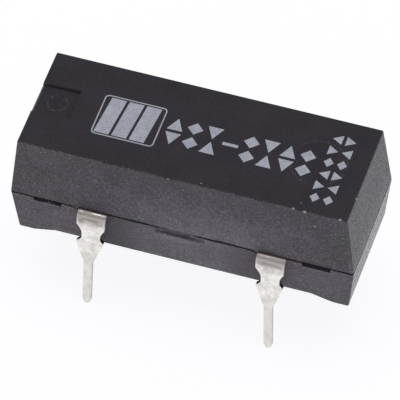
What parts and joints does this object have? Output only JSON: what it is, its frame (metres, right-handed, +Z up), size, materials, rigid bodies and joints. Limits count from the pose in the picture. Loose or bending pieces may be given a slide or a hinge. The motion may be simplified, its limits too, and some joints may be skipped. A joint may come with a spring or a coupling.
{
  "type": "reed relay",
  "caption": "Sealed reed relay in a moulded dual-in-line body, with splayed pins and an end notch; a coil round a glass reed switch closes its contacts.",
  "frame": {"origin": "middle of the plane that the four pin tips stand on", "axes": "+X along the body away from the notched end, -Y the side of pins 2 and 6, +Z up from the pin tips to the printed top"},
  "size_m": [0.0194, 0.0092, 0.0109],
  "materials": {
    "compound": "black epoxy moulding compound, fine spark-eroded grain on the walls, smoother on the top",
    "tinned_lead": "matte tin plate over copper alloy",
    "bobbin_plastic": "natural glass-filled plastic",
    "copper_wire": "enamelled copper wire",
    "solder": "bright solder",
    "reed_glass": "clear greenish glass",
    "reed_metal": "nickel-iron, bright",
    "ink": "pale grey printing ink"
  },
  "bodies": {
    "body": {"moulded_body": "compound", "contact_lead_left": "tinned_lead", "contact_lead_right": "tinned_lead", "coil_lead_left": "tinned_lead", "coil_lead_right": "tinned_lead", "rear_stub_left": "tinned_lead", "rear_stub_right": "tinned_lead", "bobbin": "bobbin_plastic", "coil_winding": "copper_wire", "start_wire": "copper_wire", "end_wire": "copper_wire", "start_solder": "solder", "end_solder": "solder", "reed_glass": "reed_glass", "badge_mark": "ink", "row_marks": "ink", "column_marks": "ink"},
    "left_blade": {"reed_blade_left": "reed_metal"},
    "right_blade": {"reed_blade_right": "reed_metal"}
  },
  "joints": [
    {"name": "left_blade_tilt", "type": "hinge", "parent": "body", "child": "left_blade", "pos_m": [-0.0045, 0, 0.00703], "axis": [0, 1, 0], "range_deg": [0, 0.5], "stiffness_Nm_per_rad": 0.000375},
    {"name": "right_blade_tilt", "type": "hinge", "parent": "body", "child": "right_blade", "pos_m": [0.0045, 0, 0.00703], "axis": [0, 1, 0], "range_deg": [0, 0.5], "stiffness_Nm_per_rad": 0.000375}
  ],
  "couplings": [
    {"joint": "right_blade_tilt", "follows": "left_blade_tilt", "ratio": 1}
  ]
}
